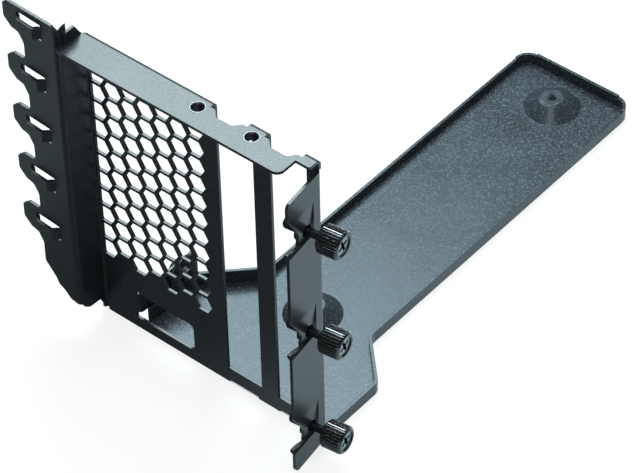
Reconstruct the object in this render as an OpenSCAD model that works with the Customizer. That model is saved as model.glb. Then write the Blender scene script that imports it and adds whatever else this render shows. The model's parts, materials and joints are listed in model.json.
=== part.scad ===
// Vertical graphics card mount: a folded upright bracket, a lipped tray and three captive thumbscrews.
// Units are millimetres. X runs across the panel, Y runs back along the tray, Z is up.
// The origin lies on the tray's underside, in the middle of its wide base.

/* [Sheet metal] */
// Thickness of the bracket sheet
bracket_sheet = 1; // [0.8:0.1:2]
// Thickness of the tray sheet
tray_sheet = 1; // [0.8:0.1:2]
// Inside radius of every fold
fold_r = 0.8; // [0.4:0.1:2]

/* [Panel] */
// Panel width from the side wall to the screw flange
panel_w = 89.8; // [82:0.1:120]
// Height of the shelf's top face above the tray's underside
shelf_top = 115; // [108:0.5:150]
// Where the panel's right edge lies from the centre of the tray base
panel_right = 37.5; // [30:0.1:60]
// Distance from the panel's front face back to the origin
origin_back = 20; // [0:0.5:40]
// Distance behind the panel at which the tray's left lip begins
lip_start = 3.2; // [2.5:0.1:6]

/* [Card openings] */
// Distance between expansion slots
slot_pitch = 20.32; // [18:0.01:25]
// Width of a card opening
opening_w = 13.8; // [10:0.1:15]
// Height of the strip left below the openings
opening_sill = 6; // [4:0.1:12]
// Width of the strip between the second opening and the screw flange
opening_margin = 4.9; // [3:0.1:12]
// Depth of the notch that an opening cuts into the shelf
notch_d = 4.3; // [2:0.1:7]
// Width of that notch at its narrow end
notch_w = 5.5; // [3:0.1:10]
// Height of the step in the panel's lower edge below an opening
sill_step = 0.8; // [0:0.1:2]

/* [Hexagon mesh] */
// Number of mesh columns
mesh_cols = 7; // [3:1:9]
// Number of holes in a column
mesh_rows = 11; // [3:1:13]
// Distance between columns
mesh_col_pitch = 6.48; // [5:0.01:9]
// Distance between holes in a column
mesh_row_pitch = 7.16; // [6:0.01:10]
// Width of a hole across its flats
hex_flats = 6.2; // [4:0.1:8]
// Centre of the first column from the panel's left edge
mesh_x = 2.9; // [2.5:0.05:8]
// Height of the lowest hole
mesh_z = 28.1; // [20:0.1:40]

/* [Window and tab] */
// Width of the window low in the panel
window_w = 24.2; // [16:0.1:32]
// Height of the window
window_h = 11.1; // [8:0.1:14]
// Height of the window's lower edge
window_z = 4.2; // [3:0.1:8]
// Radius of the window's right corners
window_r = 2; // [0.5:0.1:4]
// Height of the tab folded back out of the window
tab_h = 8; // [5:0.1:9]
// Height of the tab's lower edge
tab_z = 6.5; // [5:0.1:10]
// How far the tab reaches behind the panel
tab_reach = 25.5; // [18:0.1:30]
// Radius of the relief hole at the root of the tab
relief_r = 0.9; // [0.5:0.1:1.5]

/* [Shelf] */
// Depth of the shelf in front of the panel
shelf_d = 11.5; // [9:0.1:20]
// Width of the cut in the shelf's right end
shelf_end_cut = 5.4; // [3:0.1:9]
// Depth of the neck left behind that cut
shelf_neck = 4; // [2.5:0.1:8]
// Radius of the shelf's right front corner
shelf_corner_r = 2.4; // [0.5:0.1:4]
// Distance of the screw holes in front of the panel
shelf_hole_y = 4.15; // [3:0.05:8]
// Distance of a screw hole to the left of its opening
shelf_hole_back = 2.75; // [1.5:0.05:6]

/* [Shelf nuts] */
// Radius of the screw hole in a nut
nut_bore_r = 1.6; // [1:0.05:2.5]
// Radius of a nut's shank in the sheet
nut_shank_r = 2.5; // [2:0.05:3.5]
// Radius of a nut's head below the sheet
nut_head_r = 3.2; // [2.5:0.1:4]
// Height of a nut's head
nut_head_h = 1.8; // [1:0.1:4]

/* [Side wall and hooks] */
// Depth of the side wall in front of the panel
wall_d = 11.5; // [9:0.1:20]
// Angle by which the hook flange leans back
hook_lean = 3.5; // [0:0.5:10]
// Number of hooks
hook_count = 5; // [1:1:5]
// Height of the top hook's slot above the shelf
hook_above = 5.9; // [4:0.1:10]
// Width of the hook flange between hooks
hook_neck_u = 14.9; // [12:0.1:20]
// Reach of a hook from the side wall
hook_tip_u = 23; // [18:0.1:30]
// Near end of a hook's slot
slot_near_u = 6.8; // [4:0.1:9]
// Far end of a hook's slot
slot_far_u = 17; // [14:0.1:19]
// Height of a hook's slot
slot_h = 6; // [4:0.1:9]
// Height of the bridge pressed out of the slot
bridge_h = 4; // [2.5:0.1:6]
// How far the bridge stands out of the flange
bridge_out = 2; // [1.2:0.1:4]
// Height of the flange's rounded foot above the tray's underside
hook_foot_z = 9.8; // [6:0.1:20]
// Height of the ear on the side wall above the shelf
ear_rise = 4.3; // [2:0.1:8]

/* [Screw flange] */
// Width of the screw flange
flange_w = 16.8; // [15:0.1:26]
// Angle by which the screw flange opens past square
flange_open = 7.6; // [0:0.2:15]
// Height of the screw flange's top edge
flange_top = 110.8; // [105:0.1:113]
// Height of the screw flange's bottom edge
flange_foot = 0.3; // [0:0.1:4]
// Height of the slit between the screw flange and the strip above it
flange_slit = 0.5; // [0.3:0.1:2]
// Depth of a relief notch
relief_d = 6.5; // [2:0.1:8]
// How far a relief notch reaches below its screw
relief_drop = 2.8; // [1:0.1:6]
// Rise of the notch's lower edge from its floor to the flange's edge
relief_rise = 1.1; // [0:0.1:3]
// Straight height of the notch's floor
relief_flat = 4.2; // [2:0.1:6]
// Distance from the flange's edge at which the notch's sloped side bends
relief_bend = 4; // [1:0.1:6]
// Height of the steeper stretch of that side
relief_steep = 4.8; // [2:0.1:6]
// Height of the whole sloped side
relief_slope = 10.8; // [8:0.1:14]
// Height of a sunk pad
pad_h = 13.3; // [9:0.1:18]
// How far a pad's lower edge lies below its screw
pad_drop = 2.8; // [1:0.1:8]
// Depth of a sunk pad
pad_sink = 1; // [0.5:0.1:2]
// Distance of a pad from the fold
pad_u = 3.5; // [3:0.1:8]
// Radius of the clearance hole for a thumbscrew
flange_hole_r = 2; // [1.7:0.05:3]

/* [Thumbscrews] */
// Distance of the thumbscrews from the fold
screw_u = 6.2; // [5:0.1:12]
// Height of the lowest thumbscrew
screw_z = 11.3; // [8:0.1:20]
// Radius of the screw's thread
thread_r = 1.75; // [1.4:0.05:2.5]
// Radius of the neck between the thread and the knob
neck_r = 1.35; // [1:0.05:2]
// Gap between the captive ring and the thread
thread_gap = 0.4; // [0.2:0.1:1]
// Length of the screw behind the flange
thread_len = 6.2; // [4:0.1:8]
// Gap between the flange and the knob when the screw is loose
knob_gap = 4.3; // [2:0.1:8]
// Radius of the knurled knob
knob_r = 4.6; // [3.5:0.1:8]
// Length of the knob
knob_len = 7.5; // [5:0.1:14]
// Number of knurls round the knob
knurl_count = 30; // [16:1:48]
// Depth of the knurls
knurl_depth = 0.35; // [0.1:0.05:0.8]
// Radius of the screw's head inside the knob
screw_head_r = 3.2; // [2.6:0.1:4]
// Height of the screw's head inside the knob
screw_head_h = 2.6; // [1.5:0.1:4]
// Radius of the ring that keeps the screw captive
ring_r = 3.6; // [2.6:0.1:6]
// Thickness of that ring
ring_h = 0.9; // [0.5:0.1:2]
// Running clearance between the screw and its ring
ring_clear = 0.05; // [0.01:0.01:0.1]

/* [Tray] */
// Length of the tray behind the panel
tray_len = 177.4; // [150:0.5:240]
// Width of the tray at the panel
base_w = 75.2; // [66:0.1:100]
// Distance behind the panel at which the arm has its full narrowness
arm_start = 39.8; // [36:0.1:70]
// Width of the tray's arm
arm_w = 45; // [30:0.1:60]
// Distance of the arm's centre line from the base's
arm_shift = 0.75; // [-2:0.05:4]
// Height of the lip round the arm
lip_h = 4.2; // [3:0.1:10]
// Height of the lip at the far end
end_lip_h = 5.4; // [3:0.1:12]
// Height of the left lip beside the tab
side_lip_h = 6.5; // [5:0.1:12]
// Radius of the far corners
far_r = 5.5; // [3:0.5:10]
// Radius where the base narrows to the arm
taper_r = 4; // [2:0.5:8]

/* [Raised bosses] */
// Distance of the near boss behind the panel
boss_near = 38.1; // [30:0.1:60]
// Distance between the two bosses
boss_pitch = 125.5; // [90:0.1:140]
// Radius of a boss at the floor
boss_base_r = 9.7; // [6:0.1:12]
// Radius of a boss's top
boss_top_r = 3.9; // [2.5:0.1:6]
// Height of a boss above the tray's underside
boss_h = 5.2; // [3:0.1:9]
// Radius of the hole in a boss
boss_hole_r = 1.6; // [1:0.1:2.5]

/* [Ear fixing] */
// Distance of the ear's screw behind the panel
ear_y = 19.8; // [14:0.1:22]
// Height of the ear's screw
ear_z = 10; // [8:0.1:14]
// Radius of the tray's ear
ear_r = 6.2; // [4:0.1:8]
// Radius of the ear's screw
ear_screw_r = 1.5; // [1:0.05:2.5]
// Radius of the ear screw's head
ear_head_r = 2.9; // [2:0.1:4]
// Height of the ear screw's head
ear_head_h = 1.9; // [1:0.1:3]
// Radius of the round nut behind the tab
ear_nut_r = 3; // [2.2:0.1:4]
// Thickness of that nut
ear_nut_h = 2.2; // [1:0.1:4]

/* [Hidden] */
eps = 0.02;
reach = 400;
t = bracket_sheet;
fold_out = fold_r + t;
panel_left = panel_right - panel_w;
opening_x = panel_right - opening_margin - opening_w - slot_pitch;
opening_top = shelf_top + 1;
hook_top = shelf_top + hook_above;
hook_fold_y = -wall_d + fold_out * (1 + sin(hook_lean)) / cos(hook_lean);
hook_fold_u = fold_out * tan(45 + hook_lean / 2);
flange_fold_x = panel_right - (fold_out - fold_r * sin(flange_open)) / cos(flange_open);
shelf_right = panel_right - 0.3;
screw_pitch = 2 * slot_pitch;
pad_slope = pad_sink;
tray_front = t;
tray_back = tray_front + tray_len;
base_half = base_w / 2;
arm_left = arm_shift - arm_w / 2;
arm_right = arm_shift + arm_w / 2;
tab_face = -base_half;
tab_fold_x = tab_face - fold_out;
window_x = tab_fold_x;
ear_hole_r = ear_screw_r + 0.05;
knob_root = 0.5;
screw_levels = [for (i = [0:2]) screw_z + screw_pitch * i];

bracket();
tray();
shelf_nut_left();
shelf_nut_right();
ear_screw();
ear_nut();
thumb_screw_low();
thumb_screw_mid();
thumb_screw_top();
thumb_knob_low();
thumb_knob_mid();
thumb_knob_top();
captive_ring_low();
captive_ring_mid();
captive_ring_top();

// Outlines

// One rounded corner of a polygon, as points on its arc
function corner(a, b, c, r, n) =
    let (
        u = (a - b) / norm(a - b),
        v = (c - b) / norm(c - b),
        half = acos(u * v) / 2,
        reach_in = r / tan(half),
        start = b + u * reach_in,
        finish = b + v * reach_in,
        mid = b + (u + v) / norm(u + v) * (r / sin(half)),
        first = atan2(start[1] - mid[1], start[0] - mid[0]),
        turn = atan2(finish[1] - mid[1], finish[0] - mid[0]) - first,
        swing = turn > 180 ? turn - 360 : (turn < -180 ? turn + 360 : turn)
    )
    arc(mid, r, first, first + swing, n);

// Points on an arc
function arc(mid, r, first, last, n) =
    [for (i = [0:n]) mid + r * [cos(first + (last - first) * i / n), sin(first + (last - first) * i / n)]];

// The same points in the opposite order
function backwards(path) = [for (i = [len(path) - 1:-1:0]) path[i]];

// A polygon whose corners are given as x, y and radius
function rounded(path) =
    [for (i = [0:len(path) - 1])
        let (
            p = path[i],
            before = path[(i + len(path) - 1) % len(path)],
            after = path[(i + 1) % len(path)]
        )
        each p[2] == 0 ? [[p[0], p[1]]]
            : corner([before[0], before[1]], [p[0], p[1]], [after[0], after[1]], p[2], 5)];

// The tray seen from above, moved inwards by the sheet thickness for its inside
module tray_outline(inset) {
    near = inset * tan(22.5);
    left_bend = arm_start - (arm_left + base_half);
    right_bend = arm_start - (base_half - arm_right);
    polygon(rounded([
        [-base_half + inset, inset > 0 ? 0 : tray_front, 0],
        [base_half - inset, inset > 0 ? 0 : tray_front, 0],
        [base_half - inset, right_bend - near, taper_r],
        [arm_right - inset, arm_start - near, taper_r],
        [arm_right - inset, tray_back - inset, far_r - inset],
        [arm_left + inset, tray_back - inset, far_r - inset],
        [arm_left + inset, arm_start - near, taper_r],
        [-base_half + inset, left_bend - near, taper_r]
    ]));
}

// One hook seen in the hook flange, measured down from the top of its slot
module hook_outline() {
    polygon(rounded([
        [hook_neck_u - 2, 6, 0],
        [hook_neck_u, 6, 0],
        [hook_neck_u, 2.6, 1.2],
        [hook_tip_u - 2.9, 2.4, 1],
        [hook_tip_u, 0.1, 0.8],
        [hook_tip_u, -5.1, 1.5],
        [hook_tip_u - 3.1, -7.8, 1.2],
        [hook_neck_u + 2, -8.3, 1.5],
        [hook_neck_u, -11.5, 2],
        [hook_neck_u, -15, 0],
        [hook_neck_u - 2, -15, 0]
    ]));
}

// The whole hook flange in its own plane, u outwards and z up
module hook_flange_outline() {
    difference() {
        union() {
            polygon(rounded([
                [-2, hook_foot_z - 1, 0],
                [hook_fold_u, hook_foot_z, 0],
                [4.4, hook_foot_z + 0.3, 2],
                [7, hook_foot_z + 2.6, 1],
                [9.4, hook_foot_z + 3.7, 1.2],
                [10.6, hook_foot_z + 6, 1],
                [hook_neck_u, hook_foot_z + 10.4, 2],
                [hook_neck_u, shelf_top, 0],
                [-2, shelf_top, 0]
            ]));
            for (i = [0:hook_count - 1])
                translate([0, hook_top - slot_pitch * i])
                    hook_outline();
            polygon(rounded([
                [1.1, shelf_top - 1, 0],
                [hook_neck_u, shelf_top - 1, 0],
                [hook_neck_u, hook_top + 2.4, 0],
                [1.1, hook_top + 2.4, 2]
            ]));
        }
        translate([0, hook_top])
            polygon([
                [-1, 9],
                [-1, 2.5],
                [3, 2.4],
                [hook_tip_u + 2, 1.5],
                [hook_tip_u + 2, 9]
            ]);
    }
}

// Moves what is drawn from the panel's front face to the part's own frame
module placed() {
    translate([0, -origin_back, 0])
        children();
}

// Fold helpers

// A fold round an upright axis, from a starting direction through a swing
module upright_fold(x, y, z0, z1, start, swing) {
    translate([x, y, z0])
        rotate([0, 0, start])
            rotate_extrude(angle = swing, $fn = 48)
                translate([fold_r, 0])
                    square([t, z1 - z0]);
}

// Places its children in the plane of the hook flange: its front face in Y = 0, u towards -X
module on_hook_flange() {
    translate([panel_left, -wall_d, 0])
        rotate([0, 0, -hook_lean])
            children();
}

// Places its children in the plane of the screw flange: n outwards, u to the front
module on_screw_flange() {
    translate([panel_right, 0, 0])
        rotate([0, 0, flange_open])
            children();
}

// Bracket

// The flat panel, with the strip above the screw flange that runs on to the shelf's right end
module panel_blank() {
    translate([panel_left + fold_r, 0, 0])
        cube([flange_fold_x - panel_left - fold_r, t, shelf_top - fold_out]);
    translate([panel_left + fold_r, 0, flange_top + flange_slit])
        cube([shelf_right - panel_left - fold_r, t, shelf_top - fold_out - flange_top - flange_slit]);
}

module card_opening(i) {
    translate([opening_x + slot_pitch * i, 0, 0]) {
        translate([0, -fold_out - eps, opening_sill])
            cube([opening_w, t + fold_out + 1, opening_top]);
        translate([0, 0, shelf_top - fold_out - 1])
            linear_extrude(fold_out + 2)
                polygon([
                    [0, t + 1],
                    [0, -0.2],
                    [opening_w / 2 - notch_w / 2 + 0.4, -notch_d],
                    [opening_w / 2 + notch_w / 2 + 0.4, -notch_d],
                    [opening_w, -0.2],
                    [opening_w, t + 1]
                ]);
        translate([0.5, -1, -1])
            cube([opening_w - 2, t + 2, sill_step + 1]);
    }
}

module mesh_holes() {
    for (c = [0:mesh_cols - 1], r = [0:mesh_rows - 1 - c % 2])
        translate([
            panel_left + mesh_x + mesh_col_pitch * c,
            t + 1,
            mesh_z + mesh_row_pitch * (r + (c % 2) / 2)
        ])
            rotate([90, 0, 0])
                linear_extrude(t + 2)
                    circle(r = hex_flats / sqrt(3), $fn = 6);
}

module window_cut() {
    translate([0, t + fold_r - eps, 0])
        rotate([90, 0, 0])
            linear_extrude(t + fold_r + 1)
                polygon(rounded([
                    [window_x, window_z, 0],
                    [window_x + window_w, window_z, window_r],
                    [window_x + window_w, window_z + window_h, window_r],
                    [window_x, window_z + window_h, 0]
                ]));
    translate([window_x + relief_r, t + 1, window_z + window_h - relief_r / 2])
        rotate([90, 0, 0])
            cylinder(r = relief_r, h = t + 2, $fn = 24);
}

module window_tab() {
    translate([tab_fold_x, t + fold_r, tab_z])
        rotate([0, 0, -90])
            rotate_extrude(angle = 90, $fn = 48)
                translate([fold_r, 0])
                    square([t, tab_h]);
    translate([tab_face - t, t + fold_r, tab_z])
        cube([t, tab_reach - t - fold_r, tab_h]);
}

module shelf_blank() {
    translate([0, 0, shelf_top - t])
        linear_extrude(t)
            polygon(rounded([
                [panel_left - t, -shelf_d, 1.2],
                [panel_right - shelf_end_cut, -shelf_d, shelf_corner_r],
                [panel_right - shelf_end_cut, -shelf_neck, 0],
                [shelf_right, -shelf_neck, 0.8],
                [shelf_right, -fold_r, 0],
                [panel_left - t, -fold_r, 0]
            ]));
}

module shelf_fold() {
    translate([panel_left + fold_r, -fold_r, shelf_top - fold_out])
        rotate([90, 0, 90])
            rotate_extrude(angle = 90, $fn = 48)
                translate([fold_r, 0])
                    square([t, shelf_right - panel_left - fold_r]);
}

module side_wall() {
    ear_top = shelf_top + ear_rise;
    translate([panel_left - t, 0, 0])
        rotate([90, 0, 90])
            linear_extrude(t)
                polygon(rounded([
                    [hook_fold_y, hook_foot_z - 1.9, 0],
                    [-7.4, 6.2, 2],
                    [-2.4, 5.9, 1.5],
                    [-fold_r, 2.4, 0],
                    [-fold_r, shelf_top - 0.4, 0],
                    [-1.4, shelf_top + 0.4, 0],
                    [-3.6, ear_top, 1],
                    [-8, ear_top, 0.8],
                    [-8.4, shelf_top, 0],
                    [hook_fold_y, shelf_top, 0]
                ]));
}

// The side wall's front end, its fold and the hook flange as one folded strip, seen from above
module hook_strip() {
    mid = [panel_left - fold_out, hook_fold_y];
    out = [-cos(hook_lean), sin(hook_lean)];
    front = [panel_left, -wall_d] + out * (hook_tip_u + 1);
    back = front + t * [sin(hook_lean), cos(hook_lean)];
    polygon(concat(
        [[panel_left, hook_fold_y + 3]],
        arc(mid, fold_out, 0, -90 - hook_lean, 12),
        [front, back],
        backwards(arc(mid, fold_r, 0, -90 - hook_lean, 12)),
        [[panel_left - t, hook_fold_y + 3]]
    ));
}

module hook_flange() {
    difference() {
        intersection() {
            linear_extrude(hook_top + 10)
                hook_strip();
            on_hook_flange()
                translate([0, 8, 0])
                    rotate([90, 0, 0])
                        mirror([1, 0, 0])
                            linear_extrude(12)
                                hook_flange_outline();
        }
        for (i = [0:hook_count - 1])
            on_hook_flange()
                translate([-slot_far_u, -1, hook_top - slot_pitch * i - slot_h])
                    cube([slot_far_u - slot_near_u, t + 2, slot_h]);
    }
    for (i = [0:hook_count - 1])
        on_hook_flange()
            translate([0, 0, hook_top - slot_pitch * i - (slot_h + bridge_h) / 2])
                hook_bridge();
}

// The strap pressed forward out of a hook's slot, open behind for a case edge
module hook_bridge() {
    far = slot_far_u;
    near = slot_near_u;
    linear_extrude(bridge_h)
        polygon([
            [-far - 0.4, 0],
            [-far + 2.2, -bridge_out],
            [-near - 1.6, -bridge_out],
            [-near + 0.4, 0],
            [-near + 0.4, t],
            [-near - 0.3, t],
            [-near - 2.2, -bridge_out + t],
            [-far + 2.8, -bridge_out + t],
            [-far + 0.3, t],
            [-far - 0.4, t]
        ]);
}

// The screw flange in its own plane, with a relief notch beside each screw
module screw_flange_outline() {
    polygon(rounded(concat(
        [[-4, flange_foot, 0], [flange_w, flange_foot, 2.2]],
        [for (z = screw_levels)
            let (floor_z = z - relief_drop)
            each [
                [flange_w, floor_z + relief_rise, 0.8],
                [flange_w - relief_d, floor_z, 1],
                [flange_w - relief_d, floor_z + relief_flat, 2],
                [flange_w - relief_bend, floor_z + relief_flat + relief_steep, 3],
                [flange_w, floor_z + relief_flat + relief_slope, 1.2]
            ]],
        [[flange_w, flange_top, 1.7], [-4, flange_top, 0]]
    )));
}

// The panel's right end, its fold and the screw flange as one folded strip, seen from above
module screw_strip() {
    mid = [flange_fold_x, -fold_r];
    along = [sin(flange_open), -cos(flange_open)];
    face = [panel_right, 0] + along * (flange_w + 1);
    back = face - t * [cos(flange_open), sin(flange_open)];
    polygon(concat(
        [[flange_fold_x - 3, t]],
        arc(mid, fold_out, 90, flange_open, 12),
        [face, back],
        backwards(arc(mid, fold_r, 90, flange_open, 12)),
        [[flange_fold_x - 3, 0]]
    ));
}

// A block whose sides slope inwards at 45 degrees, for the back or the hollow of a sunk pad
module pad_block(z, grow, depth, top) {
    low = z - pad_drop - grow;
    high = z - pad_drop + pad_h + grow;
    near = pad_u - grow;
    far = flange_w + 3;
    intersection() {
        rotate([90, 0, 0])
            linear_extrude(far)
                polygon([
                    [top, low - top],
                    [top, high + top],
                    [-depth, high - depth],
                    [-depth, low + depth]
                ]);
        translate([0, 0, low - 2])
            linear_extrude(high - low + 4)
                polygon([
                    [top, -near + top],
                    [-depth, -near - depth],
                    [-depth, -far],
                    [top, -far]
                ]);
    }
}

module screw_flange() {
    difference() {
        intersection() {
            union() {
                linear_extrude(shelf_top)
                    screw_strip();
                for (z = screw_levels)
                    on_screw_flange()
                        pad_block(z, t * sqrt(2), pad_sink + t, -0.2);
            }
            on_screw_flange()
                rotate([90, 0, -90])
                    translate([0, 0, -3])
                        linear_extrude(12)
                            screw_flange_outline();
        }
        for (z = screw_levels)
            on_screw_flange() {
                pad_block(z, 0, pad_sink, 1);
                translate([-pad_sink - t - 1, -screw_u, z])
                    rotate([0, 90, 0])
                        cylinder(r = flange_hole_r, h = t + pad_sink + 3, $fn = 32);
            }
    }
}

module bracket() {
    color([0.05, 0.05, 0.055])
        placed() difference() {
            union() {
                difference() {
                    union() {
                        panel_blank();
                        shelf_blank();
                        shelf_fold();
                    }
                    mesh_holes();
                    window_cut();
                    for (i = [0:1])
                        card_opening(i);
                }
                window_tab();
                upright_fold(panel_left + fold_r, -fold_r, 1, shelf_top - t, 90, 90);
                side_wall();
                hook_flange();
                screw_flange();
            }
            for (i = [0:1])
                translate([opening_x + slot_pitch * i - shelf_hole_back, -shelf_hole_y, shelf_top - 3])
                    cylinder(r = nut_shank_r, h = 5, $fn = 40);
            translate([tab_face - t - 1, ear_y, ear_z])
                rotate([0, 90, 0])
                    cylinder(r = ear_hole_r, h = t + 2, $fn = 32);
        }
}

// Tray

module boss_shell() {
    rotate_extrude($fn = 72)
        polygon([
            [boss_hole_r, boss_h - tray_sheet],
            [boss_hole_r, boss_h],
            [boss_top_r, boss_h],
            [boss_top_r + 1, boss_h - 0.5],
            [boss_base_r, tray_sheet],
            [boss_base_r + 0.6, tray_sheet],
            [boss_base_r + 0.6, 0],
            [boss_base_r - 1.2, 0],
            [boss_top_r, boss_h - tray_sheet]
        ]);
}

module tray_ear() {
    translate([-base_half, ear_y, ear_z])
        rotate([0, 90, 0])
            cylinder(r = ear_r, h = tray_sheet, $fn = 60);
    translate([-base_half, ear_y - ear_r, tray_sheet])
        cube([tray_sheet, 2 * ear_r, ear_z - tray_sheet]);
}

module tray() {
    color([0.06, 0.065, 0.07])
        placed() difference() {
            union() {
                difference() {
                    linear_extrude(side_lip_h)
                        tray_outline(0);
                    translate([0, 0, tray_sheet])
                        linear_extrude(side_lip_h)
                            tray_outline(tray_sheet);
                    lip_trim();
                    translate([-base_half - 1, tray_front - 1, tray_sheet])
                        cube([tray_sheet + 1 + eps, lip_start - tray_front + 1, reach]);
                    for (y = [boss_near, boss_near + boss_pitch])
                        translate([arm_shift, y, -1])
                            cylinder(r = boss_base_r, h = 3, $fn = 72);
                }
                for (y = [boss_near, boss_near + boss_pitch])
                    translate([arm_shift, y, 0])
                        boss_shell();
                tray_ear();
            }
            translate([-base_half - 1, ear_y, ear_z])
                rotate([0, 90, 0])
                    cylinder(r = ear_hole_r, h = tray_sheet + 2, $fn = 32);
        }
}

// Cuts the lip down from the tall left side to the arm and the far end
module lip_trim() {
    step_y = arm_start + 3;
    far_y = tray_back - far_r;
    translate([arm_shift, 0, lip_h])
        cube([reach, far_y, reach]);
    translate([-reach / 2, step_y, lip_h])
        cube([reach, far_y - step_y, reach]);
    translate([-reach / 2, far_y - eps, end_lip_h])
        cube([reach, reach, reach]);
    for (x = [arm_left - eps, arm_right - far_r])
        translate([x, far_y - eps, end_lip_h - 0.6])
            cube([far_r + 2 * eps, reach, reach]);
}

// Small parts

module shelf_nut(i) {
    color([0.1, 0.1, 0.11])
        placed() translate([opening_x + slot_pitch * i - shelf_hole_back, -shelf_hole_y, shelf_top])
            difference() {
                union() {
                    translate([0, 0, -t])
                        cylinder(r = nut_shank_r, h = t, $fn = 40);
                    translate([0, 0, -t - nut_head_h])
                        cylinder(r = nut_head_r, h = nut_head_h, $fn = 40);
                }
                translate([0, 0, -t - nut_head_h - 1])
                    cylinder(r = nut_bore_r, h = t + nut_head_h + 2, $fn = 40);
                translate([0, 0, -0.5])
                    cylinder(r1 = nut_bore_r, r2 = nut_bore_r + 0.6, h = 0.5 + eps, $fn = 40);
            }
}

module shelf_nut_left() shelf_nut(0);
module shelf_nut_right() shelf_nut(1);

module cross_recess(width, size, depth) {
    for (a = [0, 90])
        rotate([0, 0, a])
            translate([-size / 2, -width / 2, -depth])
                cube([size, width, depth + 1]);
}

module ear_screw() {
    color([0.12, 0.12, 0.13])
        placed() translate([tab_face + tray_sheet, ear_y, ear_z])
            rotate([0, 90, 0])
                difference() {
                    union() {
                        cylinder(r1 = ear_head_r, r2 = ear_head_r * 0.8, h = ear_head_h, $fn = 40);
                        translate([0, 0, -tray_sheet - t - ear_nut_h])
                            cylinder(r = ear_screw_r, h = tray_sheet + t + ear_nut_h + eps, $fn = 40);
                    }
                    translate([0, 0, ear_head_h])
                        rotate([0, 0, 45])
                            cross_recess(0.8, 3, 1.1);
                }
}

module ear_nut() {
    color([0.12, 0.12, 0.13])
        placed() translate([tab_face - t - ear_nut_h, ear_y, ear_z])
            rotate([0, 90, 0])
                difference() {
                    cylinder(r = ear_nut_r, h = ear_nut_h, $fn = 40);
                    translate([0, 0, -1])
                        cylinder(r = ear_screw_r, h = ear_nut_h + 2, $fn = 40);
                }
}

// Places its children on a thumbscrew's axis, its origin on the flange and Z outwards
module on_screw_axis(i) {
    placed() on_screw_flange()
        translate([0, -screw_u, screw_levels[i]])
            rotate([0, 90, 0])
                children();
}

module thumb_screw(i) {
    back = -pad_sink - t - thread_len;
    neck_back = -pad_sink - t - ring_h - thread_gap;
    face = knob_gap + knob_len - knob_root;
    on_screw_axis(i)
        color([0.2, 0.2, 0.21])
            difference() {
                union() {
                    translate([0, 0, back])
                        cylinder(r1 = thread_r - 0.5, r2 = thread_r, h = 0.6, $fn = 36);
                    translate([0, 0, back + 0.6])
                        cylinder(r = thread_r, h = neck_back - back - 0.6, $fn = 36);
                    translate([0, 0, neck_back])
                        cylinder(r = neck_r, h = knob_gap - neck_back, $fn = 36);
                    translate([0, 0, knob_gap])
                        cylinder(r = thread_r, h = face - knob_gap, $fn = 36);
                    translate([0, 0, face - screw_head_h])
                        cylinder(r = screw_head_r, h = screw_head_h, $fn = 48);
                }
                translate([0, 0, face])
                    rotate([0, 0, 20])
                        cross_recess(1.1, 4.4, 1.6);
            }
}

module knurl_outline() {
    polygon([for (k = [0:knurl_count - 1], j = [0:3])
        let (
            part = [0.08, 0.32, 0.55, 0.85][j],
            level = j < 2 ? knob_r : knob_r - knurl_depth,
            angle = 360 * (k + part) / knurl_count
        )
        level * [cos(angle), sin(angle)]]);
}

// The knurled sleeve: its bevels and its stepped bore are one turned profile
module thumb_knob(i) {
    bevel = knurl_depth + 0.4;
    seat = knob_len - knob_root - screw_head_h;
    on_screw_axis(i)
        translate([0, 0, knob_gap])
            color([0.03, 0.03, 0.032])
                intersection() {
                    linear_extrude(knob_len)
                        knurl_outline();
                    rotate_extrude($fn = 60)
                        polygon([
                            [thread_r, 0],
                            [knob_r - bevel, 0],
                            [knob_r + 0.1, bevel + 0.1],
                            [knob_r + 0.1, knob_len - bevel - 0.1],
                            [knob_r - bevel, knob_len],
                            [screw_head_r, knob_len],
                            [screw_head_r, seat],
                            [thread_r, seat]
                        ]);
                }
}

module captive_ring(i) {
    on_screw_axis(i)
        translate([0, 0, -pad_sink - t - ring_h])
            color([0.15, 0.15, 0.16])
                difference() {
                    cylinder(r = ring_r, h = ring_h, $fn = 48);
                    translate([0, 0, -1])
                        cylinder(r = neck_r + ring_clear, h = ring_h + 2, $fn = 48);
                }
}

module thumb_screw_low() thumb_screw(0);
module thumb_screw_mid() thumb_screw(1);
module thumb_screw_top() thumb_screw(2);
module thumb_knob_low() thumb_knob(0);
module thumb_knob_mid() thumb_knob(1);
module thumb_knob_top() thumb_knob(2);
module captive_ring_low() captive_ring(0);
module captive_ring_mid() captive_ring(1);
module captive_ring_top() captive_ring(2);
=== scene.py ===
import json
import math
import bmesh
import bpy
from mathutils import Matrix, Vector


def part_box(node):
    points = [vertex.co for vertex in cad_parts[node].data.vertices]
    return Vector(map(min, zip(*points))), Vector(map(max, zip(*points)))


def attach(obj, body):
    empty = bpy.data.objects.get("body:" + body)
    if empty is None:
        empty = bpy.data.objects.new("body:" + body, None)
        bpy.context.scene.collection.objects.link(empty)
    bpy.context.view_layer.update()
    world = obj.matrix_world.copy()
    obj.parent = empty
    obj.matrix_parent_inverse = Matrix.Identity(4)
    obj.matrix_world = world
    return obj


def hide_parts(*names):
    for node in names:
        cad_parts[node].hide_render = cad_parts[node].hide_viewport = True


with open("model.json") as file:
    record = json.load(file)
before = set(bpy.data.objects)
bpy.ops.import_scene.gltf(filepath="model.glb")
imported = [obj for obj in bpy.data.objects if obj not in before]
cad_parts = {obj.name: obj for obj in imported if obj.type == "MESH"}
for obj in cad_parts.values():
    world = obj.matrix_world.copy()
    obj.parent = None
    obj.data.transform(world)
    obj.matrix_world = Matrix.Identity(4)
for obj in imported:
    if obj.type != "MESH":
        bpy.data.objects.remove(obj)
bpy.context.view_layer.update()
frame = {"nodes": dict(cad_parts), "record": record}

record = frame["record"]
nodes = frame["nodes"]
mounts = {m["name"]: m for m in record["mounts"]}
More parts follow.
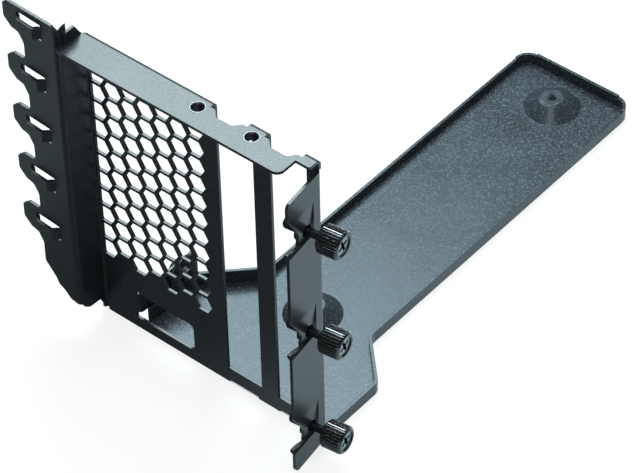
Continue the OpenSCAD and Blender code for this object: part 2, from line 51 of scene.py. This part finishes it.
turnJoints = [j for j in record["behaviour"]["joints"] if j["name"].startswith("thumbscrew_turn")]
print("frame loaded:", len(nodes), "nodes")


# A number or vector on its way through a node tree, so that maths is written as Python expressions
class Signal:
    def __init__(self, graph, socket):
        self.graph = graph
        self.socket = socket

    def maths(self, operation, *values):
        return self.graph.add("ShaderNodeMath", {"operation": operation}, values)

    def __add__(self, other):
        return self.maths("ADD", self, other)

    def __radd__(self, other):
        return self.maths("ADD", other, self)

    def __sub__(self, other):
        return self.maths("SUBTRACT", self, other)

    def __rsub__(self, other):
        return self.maths("SUBTRACT", other, self)

    def __mul__(self, other):
        return self.maths("MULTIPLY", self, other)

    def __rmul__(self, other):
        return self.maths("MULTIPLY", other, self)

    def __truediv__(self, other):
        return self.maths("DIVIDE", self, other)

    def __pow__(self, power):
        return self.maths("POWER", self, power)

    def sine(self):
        return self.maths("SINE", self)

    def clamped(self):
        return self.graph.add("ShaderNodeMath", {"operation": "ADD", "use_clamp": True}, [self, 0.0])


# Adds nodes of any type: settings first, then the values or links of the sockets
class Graph:
    def __init__(self, tree):
        self.tree = tree
        tree.nodes.clear()

    def add(self, kind, settings=None, values=(), out=0):
        node = self.tree.nodes.new(kind)
        for name, value in (settings or {}).items():
            setattr(node, name, value)
        pairs = values.items() if isinstance(values, dict) else enumerate(values)
        for key, value in pairs:
            if isinstance(value, Signal):
                self.tree.links.new(value.socket, node.inputs[key])
            else:
                node.inputs[key].default_value = value
        return Signal(self, node.outputs[out]) if node.outputs else None

    def mixColours(self, factor, first, second):
        settings = {"data_type": "RGBA"}
        return self.add("ShaderNodeMix", settings, {0: factor, 6: first, 7: second}, out=2)

    def noise(self, place, size, detail):
        values = {"Vector": place, "Scale": 1 / size, "Detail": detail, "Roughness": 0.6}
        return self.add("ShaderNodeTexNoise", {}, values)


def newMaterial(name):
    material = bpy.data.materials.new(name)
    material.use_nodes = True
    return material, Graph(material.node_tree)


def setMaterial(thing, material):
    thing.data.materials.clear()
    thing.data.materials.append(material)


def smoothStep(signal, low, high):
    part = ((signal - low) / (high - low)).clamped()
    return part * part * (3 - 2 * part)


# Distances across and along an axis through a point, for looks that go round a turned piece
def turnedPlace(graph, centre, axis):
    turn = Vector(axis).to_track_quat("Z", "Y").to_euler()
    place = graph.add("ShaderNodeTexCoord", out="Object")
    local = graph.add("ShaderNodeMapping", {"vector_type": "TEXTURE"},
                      {"Vector": place, "Location": tuple(centre), "Rotation": tuple(turn)})
    across, upward, along = [graph.add("ShaderNodeSeparateXYZ", {}, [local], out=way) for way in "XYZ"]
    radius = (across * across + upward * upward) ** 0.5
    return place, radius, along


# Which kind of ray sees a surface: the camera's, a mirrored one or one through glass
def rayKinds(graph):
    names = ("Is Camera Ray", "Is Glossy Ray", "Is Transmission Ray")
    return [graph.add("ShaderNodeLightPath", out=name) for name in names]


# Satin black powder coat: a fine sandy grain, slow waves, and a painted highlight along the cut edges
def powderCoat(look):
    material, graph = newMaterial(look["name"])
    place = graph.add("ShaderNodeTexCoord", out="Object")
    grain = graph.noise(place, look["grainSize"], 3.0)
    waves = graph.noise(place, look["waveSize"], 1.0)
    cloud = graph.noise(place, look["cloudSize"], 2.0)
    soft = graph.add("ShaderNodeBevel", {"samples": 6}, {"Radius": look["edgeRadius"]})
    flat = graph.add("ShaderNodeNewGeometry", out="True Normal")
    alike = graph.add("ShaderNodeVectorMath", {"operation": "DOT_PRODUCT"}, [soft, flat], out="Value")
    # Painted highlight: a mask along the cut edges that makes the paint lighter there
    edgeHighlight = ((1 - alike) * look["edgeHighlightGain"]).clamped()
    height = grain + waves * look["waveShare"]
    bump = {"Strength": 1.0, "Distance": look["grainDepth"], "Height": height, "Normal": soft}
    normal = graph.add("ShaderNodeBump", {}, bump)
    speck = smoothStep(grain, 0.52, 0.72)
    tone = (0.35 * cloud + 0.65 * speck).clamped()
    colour = graph.mixColours(tone, look["deep"], look["light"])
    # Painted highlight: the colour is mixed towards a lighter one along the edges
    colour = graph.mixColours(edgeHighlight, colour, look["edgeHighlightColour"])
    roughness = look["roughness"] + look["speckle"] * (grain - 0.5) + 0.10 * (cloud - 0.5) - 0.05 * edgeHighlight
    graph.add("ShaderNodeOutputMaterial", {}, [graph.add("ShaderNodeBsdfPrincipled", {}, {
        "Base Color": colour,
        "Roughness": roughness.clamped(),
        "Specular IOR Level": look["gloss"],
        "Specular Tint": look["sheen"],
        "Normal": normal,
    })])
    return material


bracketPaint = {
    "name": "bracketPowderCoat",
    "grainSize": 0.0006,  # metres across one speck
    "waveSize": 0.004,
    "cloudSize": 0.03,
    "waveShare": 0.5,
    "grainDepth": 0.000022,
    "edgeRadius": 0.00022,
    # strength of the painted highlight along the cut edges
    "edgeHighlightGain": 2.5,
    "deep": (0.006, 0.007, 0.008, 1),
    "light": (0.032, 0.038, 0.042, 1),
    # lighter colour of the painted highlight along the cut edges
    "edgeHighlightColour": (0.035, 0.042, 0.046, 1),
    "roughness": 0.33,
    "speckle": 0.25,
    "gloss": 0.5,
    "sheen": (1, 1, 1, 1),
}
trayPaint = dict(
    bracketPaint,
    name="trayPowderCoat",
    grainSize=0.0008,
    grainDepth=0.00005,
    waveShare=0.2,
    light=(0.095, 0.118, 0.135, 1),
    roughness=0.27,
    speckle=0.5,
    gloss=0.36,
    sheen=(0.78, 0.90, 1, 1),
)
setMaterial(nodes["bracket"], powderCoat(bracketPaint))
setMaterial(nodes["tray"], powderCoat(trayPaint))
print("powder coat on bracket and tray")


# The pads behind the thumbscrews are pressed ramps: each sinks from its upper line to the step below
padShape = {
    "near": -0.0027,  # metres across the flange from the screw's axis to the pad's edge
    "foot": -0.0018,  # and up from the axis to the foot and the head of the ramp
    "head": 0.0095,
    "lowest": -0.0028,
    "highest": 0.0105,
    "sheet": 0.0010,
    "slack": 0.00002,
}


def pressRamp(vert, centre, outward):
    across = Vector((outward.y, -outward.x, 0))
    offset = vert.co - centre
    depth = -offset.dot(outward)
    sheet, slack = padShape["sheet"], padShape["slack"]
    level = padShape["lowest"] <= offset.z <= padShape["highest"]
    beside = offset.dot(across) >= padShape["near"]
    if not (level and beside and slack < depth < 2 * sheet + slack):
        return
    part = (offset.z - padShape["foot"]) / (padShape["head"] - padShape["foot"])
    rise = min(max(part, 0), 1)
    face = 0 if depth < sheet + slack else sheet
    vert.co += outward * (depth - face) * rise


pressed = bpy.data.objects.new("pressed_bracket", nodes["bracket"].data.copy())
bpy.context.scene.collection.objects.link(pressed)
merged = bmesh.new()
merged.from_mesh(pressed.data)
bmesh.ops.remove_doubles(merged, verts=merged.verts, dist=0.000001)
for vert in merged.verts:
    for joint in turnJoints:
        pressRamp(vert, Vector(joint["pos_m"]), Vector(joint["axis"]))
merged.to_mesh(pressed.data)
merged.free()
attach(pressed, "mount_frame")
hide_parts("bracket")
print("ramps pressed into the pads of", len(turnJoints), "screws")


# Steel turned on a lathe: rings round its axis, bright only on the face that the tool left bare; deeper
# along the axis it is dark, partly blackened steel and partly painted shade inside the recesses
def turnedSteel(look, centre, axis, faceAt):
    material, graph = newMaterial(look["name"])
    place, radius, along = turnedPlace(graph, centre, axis)
    rings = (radius * (2 * math.pi / look["ringPitch"])).sine()
    stain = graph.noise(place, look["stainSize"], 3.0)
    # Dark below the end face: blackened steel, and painted shade inside the cross recess and the bores
    face = smoothStep(along, faceAt - 2 * look["faceDepth"], faceAt - look["faceDepth"])
    bare = face * (0.75 + 0.25 * stain)
    colour = graph.mixColours(bare, look["blackenedAndRecessShade"], look["bare"])
    soft = graph.add("ShaderNodeBevel", {"samples": 4}, {"Radius": look["edgeRadius"]})
    height = rings * face + stain * 0.6
    bump = {"Strength": 1.0, "Distance": look["ringDepth"], "Height": height, "Normal": soft}
    roughness = look["roughness"] + 0.18 * (stain - 0.5) + 0.05 * rings
    graph.add("ShaderNodeOutputMaterial", {}, [graph.add("ShaderNodeBsdfPrincipled", {}, {
        "Base Color": colour,
        "Metallic": 0.9,
        "Roughness": roughness.clamped(),
        "Normal": graph.add("ShaderNodeBump", {}, bump),
    })])
    return material


screwSteel = {
    "name": "turnedScrewSteel",
    "ringPitch": 0.00022,
    "ringDepth": 0.000004,
    "stainSize": 0.0012,
    "faceDepth": 0.00008,
    "edgeRadius": 0.00012,
    "bare": (0.36, 0.40, 0.41, 1),
    # blackened steel, and painted shade inside the recesses
    "blackenedAndRecessShade": (0.045, 0.047, 0.050, 1),
    "roughness": 0.33,
}
nutSteel = dict(screwSteel, name="blackenedNutSteel", bare=(0.16, 0.17, 0.18, 1), roughness=0.38)


def farthestAlong(node, centre, axis):
    return max((v.co - centre).dot(axis) for v in nodes[node].data.vertices)


for joint in turnJoints:
    level = joint["name"].rsplit("_", 1)[1]
    centre, axis = Vector(joint["pos_m"]), Vector(joint["axis"])
    look = dict(screwSteel, name="turnedScrewSteel." + level)
    screw = "thumb_screw_" + level
    setMaterial(nodes[screw], turnedSteel(look, centre, axis, farthestAlong(screw, centre, axis)))
    ring = "captive_ring_" + level
    look = dict(nutSteel, name="captiveRingSteel." + level)
    setMaterial(nodes[ring], turnedSteel(look, centre, axis, farthestAlong(ring, centre, axis)))

smallSteel = {
    "shelf_nut_left": (0, 0, 1),
    "shelf_nut_right": (0, 0, 1),
    "ear_screw": (1, 0, 0),
    "ear_nut": (-1, 0, 0),
}
for node, axis in smallSteel.items():
    low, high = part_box(node)
    centre, axis = (low + high) / 2, Vector(axis)
    look = dict(nutSteel, name="blackenedSteel." + node)
    setMaterial(nodes[node], turnedSteel(look, centre, axis, farthestAlong(node, centre, axis)))
print("steel on screws, nuts and rings")


# The knobs: black plating over a knurl, glossy on the crests and duller in the grooves, with the crests
# painted a little lighter as a highlight
def knurledBlack(look, centre, axis):
    material, graph = newMaterial(look["name"])
    place, radius, _ = turnedPlace(graph, centre, axis)
    crest = smoothStep(radius, look["groove"], look["crest"])
    mottle = graph.noise(place, look["mottleSize"], 2.0)
    # Painted highlight: the crests are coloured lighter than the grooves
    colour = graph.mixColours(crest * (0.6 + 0.4 * mottle), look["grooveColour"], look["crestHighlightColour"])
    soft = graph.add("ShaderNodeBevel", {"samples": 4}, {"Radius": look["edgeRadius"]})
    bump = {"Strength": 1.0, "Distance": look["mottleDepth"], "Height": mottle, "Normal": soft}
    roughness = look["roughness"] + 0.15 * (1 - crest) + 0.12 * (mottle - 0.5)
    graph.add("ShaderNodeOutputMaterial", {}, [graph.add("ShaderNodeBsdfPrincipled", {}, {
        "Base Color": colour,
        "Roughness": roughness.clamped(),
        "Specular IOR Level": 1.0,
        "Coat Weight": crest,
        "Coat Roughness": 0.06,
        "Normal": graph.add("ShaderNodeBump", {}, bump),
    })])
    return material


knobBlack = {
    "groove": 0.00425,  # metres from the knob's axis
    "crest": 0.00458,
    "mottleSize": 0.0007,
    "mottleDepth": 0.000002,
    "edgeRadius": 0.00010,
    "grooveColour": (0.002, 0.002, 0.002, 1),
    # lighter colour of the crests, a painted highlight
    "crestHighlightColour": (0.012, 0.012, 0.014, 1),
    "roughness": 0.16,
}
for joint in turnJoints:
    level = joint["name"].rsplit("_", 1)[1]
    look = dict(knobBlack, name="knurledBlack." + level)
    setMaterial(nodes["thumb_knob_" + level], knurledBlack(look, joint["pos_m"], joint["axis"]))
print("black knurl on the knobs")


# One thread ridge as a spiral, for the screws' ends and the bores of the shelf nuts
def threadTree(material):
    tree = bpy.data.node_groups.new("threadRidge", "GeometryNodeTree")
    tree.interface.new_socket("Geometry", in_out="OUTPUT", socket_type="NodeSocketGeometry")
    for name in ("Radius", "Length", "Pitch", "Ridge"):
        tree.interface.new_socket(name, in_out="INPUT", socket_type="NodeSocketFloat")
    graph = Graph(tree)
    sizes = graph.tree.nodes.new("NodeGroupInput")
    radius, length, pitch, ridge = [Signal(graph, sizes.outputs[i]) for i in range(4)]
    path = graph.add("GeometryNodeCurveSpiral", {}, {
        "Resolution": 28,
        "Rotations": length / pitch,
        "Start Radius": radius,
        "End Radius": radius,
        "Height": length,
    })
    section = graph.add("GeometryNodeCurvePrimitiveCircle", {}, {"Resolution": 4, "Radius": ridge})
    swept = graph.add("GeometryNodeCurveToMesh", {}, {
        "Curve": path,
        "Profile Curve": section,
        "Fill Caps": True,
    })
    real = graph.add("GeometryNodeRealizeInstances", {}, [swept])
    painted = graph.add("GeometryNodeSetMaterial", {}, {"Geometry": real, "Material": material})
    graph.add("NodeGroupOutput", {}, [painted])
    return tree


threadShape = {"Pitch": 0.0006, "Ridge": 0.00016}


def threadPiece(name, tree, sizes, centre, axis, body):
    piece = bpy.data.objects.new(name, bpy.data.meshes.new(name))
    bpy.context.scene.collection.objects.link(piece)
    maker = piece.modifiers.new("thread", "NODES")
    maker.node_group = tree
    for item in tree.interface.items_tree:
        if item.in_out == "INPUT":
            maker[item.identifier] = sizes[item.name]
    depsgraph = bpy.context.evaluated_depsgraph_get()
    made = bpy.data.meshes.new_from_object(piece.evaluated_get(depsgraph))
    piece.modifiers.remove(maker)
    start = Matrix.Translation((0, 0, -sizes["Length"] / 2))
    turn = Vector(axis).to_track_quat("Z", "Y").to_matrix().to_4x4()
    made.transform(Matrix.Translation(centre) @ turn @ start)
    piece.data = made
    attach(piece, body)
    return piece


for joint in turnJoints:
    level = joint["name"].rsplit("_", 1)[1]
    pin = mounts["thread_" + level]
    tree = threadTree(nodes["thumb_screw_" + level].data.materials[0])
    sizes = dict(
        threadShape,
        Radius=(pin["dims"]["r_mm"] - 0.08) / 1000,
        Length=(pin["dims"]["length_mm"] - 0.4) / 1000,
    )
    threadPiece("thread_" + level, tree, sizes, pin["pos_m"], pin["axis"], "screw_" + level)

boreRadius = mounts["shelf_holes"]["dims"]["hole_r_mm"] / 1000
for node in ("shelf_nut_left", "shelf_nut_right"):
    low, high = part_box(node)
    tree = threadTree(nodes[node].data.materials[0])
    length = high.z - low.z - 0.0009
    sizes = dict(threadShape, Radius=boreRadius + 0.00006, Length=length)
    middle = (low + high) / 2 - Vector((0, 0, 0.0002))
    threadPiece(node.replace("nut", "thread"), tree, sizes, middle, (0, 0, 1), "mount_frame")
print("threads on", len(turnJoints), "screws and 2 nuts")


# Camera where the photograph was taken from
cameraPlace = {
    "place": (0.486301, -0.543969, 0.750841),
    "heading": 40.7019,  # degrees to the left of +Y
    "down": 43.9553,
    "roll": -1.3507,
    "lens": 190.381,  # millimetres on a 36 mm sensor
}
camera = bpy.data.objects.new("camera", bpy.data.cameras.new("camera"))
bpy.context.scene.collection.objects.link(camera)
camera.data.lens = cameraPlace["lens"]
camera.data.sensor_width = 36
camera.data.clip_start = 0.01
heading = Matrix.Rotation(math.radians(cameraPlace["heading"]), 4, "Z")
tilt = Matrix.Rotation(math.radians(90 - cameraPlace["down"]), 4, "X")
roll = Matrix.Rotation(math.radians(cameraPlace["roll"]), 4, "Z")
camera.matrix_world = Matrix.Translation(cameraPlace["place"]) @ heading @ tilt @ roll
bpy.context.scene.camera = camera

# A pale floor: white to the camera with the object's shadow left in it. Reflections see it dark in
# front of the object, a painted shadow of the object, and pale behind it and to its left
floorLook = {
    "half": 4.0,
    "drop": 0.0003,  # just below the tray, so that the faces don't flicker
    "paper": (0.86, 0.86, 0.86, 1),
    "cameraShare": 0.84,
    "frontShadowGrey": 0.12,
    "leftGrey": 0.42,
    "backGrey": 1.15,
    "gradient": (-0.04, 0.06),  # metres along the diagonal to the back right
    "leftward": (0.08, 0.13),  # metres to the left
    "tint": (0.72, 0.93, 1.0, 1),
    "hollow": 0.012,  # metres: where something closes over it, the floor is dark
}
half = floorLook["half"]
corners = [(-half, -half), (half, -half), (half, half), (-half, half)]
floorMesh = bpy.data.meshes.new("floor")
floorMesh.from_pydata([(x, y, -floorLook["drop"]) for x, y in corners], [], [(0, 1, 2, 3)])
floor = bpy.data.objects.new("floor", floorMesh)
bpy.context.scene.collection.objects.link(floor)
paper, graph = newMaterial("paleFloor")
fromCamera, fromGlossy, fromGlass = rayKinds(graph)
floorPlace = graph.add("ShaderNodeTexCoord", out="Object")
diagonal = graph.add("ShaderNodeVectorMath", {"operation": "DOT_PRODUCT"},
                     [floorPlace, (0.77, 0.64, 0)], out="Value")
rise = smoothStep(diagonal, *floorLook["gradient"])
leftward = graph.add("ShaderNodeVectorMath", {"operation": "DOT_PRODUCT"},
                     [floorPlace, (-1, 0, 0)], out="Value")
left = smoothStep(leftward, *floorLook["leftward"])
# Painted shadow: in reflections the floor glows darker in front of the object, lighter to its left and
# behind it
front = floorLook["frontShadowGrey"] + (floorLook["leftGrey"] - floorLook["frontShadowGrey"]) * left
mirrored = front + (floorLook["backGrey"] - front) * rise
glow = graph.add("ShaderNodeEmission", {}, {
    "Color": graph.mixColours(fromGlossy, (1, 1, 1, 1), floorLook["tint"]),
    "Strength": fromCamera + fromGlass + fromGlossy * mirrored,
})
matt = graph.add("ShaderNodeBsdfDiffuse", {}, {"Color": floorLook["paper"]})
openness = graph.add("ShaderNodeAmbientOcclusion", {"samples": 8},
                     {"Distance": floorLook["hollow"]}, out="AO")
clear = smoothStep(openness, 0.10, 0.40)
share = (fromCamera * clear * floorLook["cameraShare"] + fromGlossy + fromGlass).clamped()
graph.add("ShaderNodeOutputMaterial", {}, [graph.add("ShaderNodeMixShader", {}, [share, matt, glow])])
setMaterial(floor, paper)

# Plain studio light: a large softbox behind, mirrored by what lies flat, a strip above that
# draws the streaks on the knobs, and an even surround
softbox = {
    "place": (-0.335, 0.30, 0.60),
    "width": 0.57,
    "depth": 0.44,
    "power": 10.6,
    "colour": (0.78, 0.955, 1.0),
}
topStrip = {
    "place": (0.12, -0.10, 0.55),
    "width": 0.16,
    "depth": 0.40,
    "power": 1.0,
    "colour": (0.90, 0.98, 1.0),
}
for name, look in (("softbox", softbox), ("topStrip", topStrip)):
    lamp = bpy.data.lights.new(name, "AREA")
    lamp.shape = "RECTANGLE"
    lamp.size = look["width"]
    lamp.size_y = look["depth"]
    lamp.energy = look["power"]
    lamp.color = look["colour"]
    lampObject = bpy.data.objects.new(name, lamp)
    lampObject.location = look["place"]
    bpy.context.scene.collection.objects.link(lampObject)

surround = {"even": 0.45, "mirrored": 0.06}
world = bpy.data.worlds.new("surround")
world.use_nodes = True
bpy.context.scene.world = world
graph = Graph(world.node_tree)
fromCamera, fromGlossy, fromGlass = rayKinds(graph)
seen = fromCamera + fromGlass
strength = seen + fromGlossy * surround["mirrored"] + (1 - seen - fromGlossy) * surround["even"]
graph.add("ShaderNodeOutputWorld", {}, [graph.add("ShaderNodeBackground", {}, {
    "Color": (1, 1, 1, 1),
    "Strength": strength,
})])
bpy.context.scene.view_settings.view_transform = "Standard"
print("camera, floor and lights")
